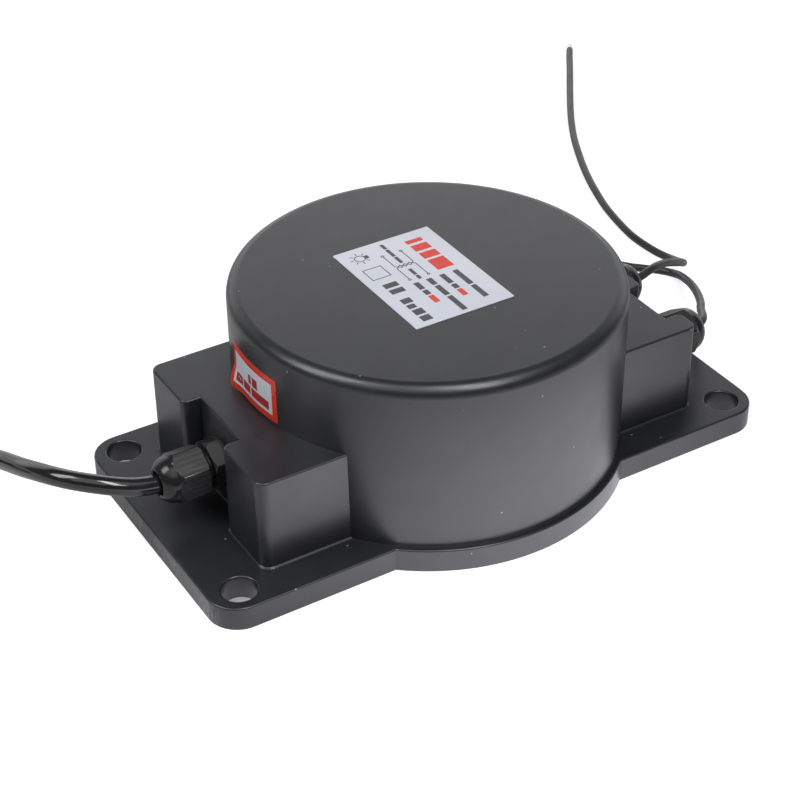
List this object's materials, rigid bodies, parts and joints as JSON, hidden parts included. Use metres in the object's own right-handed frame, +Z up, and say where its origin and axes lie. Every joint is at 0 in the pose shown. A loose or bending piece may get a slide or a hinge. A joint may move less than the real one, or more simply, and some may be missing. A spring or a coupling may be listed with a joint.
{
  "type": "waterproof toroidal transformer",
  "caption": "Potted round transformer on a rectangular four-hole base plate, with a terminal box at each end, screw-down cable glands, an input cable and two output leads.",
  "frame": {"origin": "on the mounting surface, under the drum's axis and the middle of the bolt pattern", "axes": "+X along the base plate to the end with two glands, +Y across it, +Z up out of the mounting surface"},
  "size_m": [0.4221, 0.2913, 0.0657],
  "materials": {
    "housing_plastic": "satin",
    "potting_resin": "satin",
    "rubber_black": "matte",
    "gland_nylon": "satin",
    "core_steel": "satin",
    "wrap_film": "satin",
    "enamelled_wire": "gloss",
    "fuse_case": "gloss",
    "sleeve_plastic": "satin",
    "cord_plastic": "gloss",
    "core_brown": "satin",
    "core_blue": "satin",
    "tinned_wire": "satin",
    "tie_plastic": "satin",
    "label_white": "satin"
  },
  "bodies": {
    "housing_body": {"housing": "housing_plastic", "potting_compound": "potting_resin", "top_pad": "rubber_black", "steel_core": "core_steel", "core_insulation": "wrap_film", "primary_winding": "enamelled_wire", "inner_tape": "wrap_film", "secondary_winding": "enamelled_wire", "outer_tape": "wrap_film", "thermal_fuse": "fuse_case", "joint_sleeve_input": "sleeve_plastic", "joint_sleeve_output_a": "sleeve_plastic", "joint_sleeve_output_b": "sleeve_plastic", "primary_lead_live": "core_brown", "primary_lead_neutral": "core_blue", "secondary_lead_a": "cord_plastic", "secondary_lead_b": "cord_plastic", "input_core_live": "core_brown", "input_core_neutral": "core_blue", "input_gland_body": "gland_nylon", "input_gland_washer": "rubber_black", "input_lock_nut": "gland_nylon", "output_gland_body_a": "gland_nylon", "output_gland_washer_a": "rubber_black", "output_lock_nut_a": "gland_nylon", "output_gland_body_b": "gland_nylon", "output_gland_washer_b": "rubber_black", "output_lock_nut_b": "gland_nylon", "input_cable_inner": "cord_plastic", "output_lead_inner_a": "cord_plastic", "output_lead_inner_b": "cord_plastic", "input_cable": "cord_plastic", "input_cable_coil": "cord_plastic", "input_coil_tie": "tie_plastic", "end_core_live": "core_brown", "end_core_neutral": "core_blue", "end_tip_live": "tinned_wire", "end_tip_neutral": "tinned_wire", "output_lead_a": "cord_plastic", "output_lead_tip_a": "tinned_wire", "output_lead_b": "cord_plastic", "output_lead_coil_b": "cord_plastic", "output_coil_tie_b": "tie_plastic", "output_lead_tip_b": "tinned_wire", "top_label": "label_white", "side_label": "label_white"},
    "input_seal_body": {"input_seal": "rubber_black"},
    "input_nut_body": {"input_dome_nut": "gland_nylon"},
    "output_seal_body_a": {"output_seal_a": "rubber_black"},
    "output_nut_body_a": {"output_dome_nut_a": "gland_nylon"},
    "output_seal_body_b": {"output_seal_b": "rubber_black"},
    "output_nut_body_b": {"output_dome_nut_b": "gland_nylon"}
  },
  "joints": [
    {"name": "input_nut_travel", "type": "slide", "parent": "housing_body", "child": "input_seal_body", "axis": [-1, 0, 0], "range_m": [0, 0.00381]},
    {"name": "input_nut_turn", "type": "hinge", "parent": "input_seal_body", "child": "input_nut_body", "pos_m": [-0.09, 0, 0.023], "axis": [-1, 0, 0], "range_deg": [0, 1080]},
    {"name": "output_a_nut_travel", "type": "slide", "parent": "housing_body", "child": "output_seal_body_a", "axis": [1, 0, 0], "range_m": [0, 0.00381]},
    {"name": "output_a_nut_turn", "type": "hinge", "parent": "output_seal_body_a", "child": "output_nut_body_a", "pos_m": [0.09, 0.01725, 0.023], "axis": [1, 0, 0], "range_deg": [0, 1080]},
    {"name": "output_b_nut_travel", "type": "slide", "parent": "housing_body", "child": "output_seal_body_b", "axis": [1, 0, 0], "range_m": [0, 0.00381]},
    {"name": "output_b_nut_turn", "type": "hinge", "parent": "output_seal_body_b", "child": "output_nut_body_b", "pos_m": [0.09, -0.01725, 0.023], "axis": [1, 0, 0], "range_deg": [0, 1080]}
  ],
  "couplings": [
    {"joint": "input_nut_travel", "follows": "input_nut_turn", "m_per_rad": 0.00020213},
    {"joint": "output_a_nut_travel", "follows": "output_a_nut_turn", "m_per_rad": 0.00020213},
    {"joint": "output_b_nut_travel", "follows": "output_b_nut_turn", "m_per_rad": 0.00020213}
  ]
}
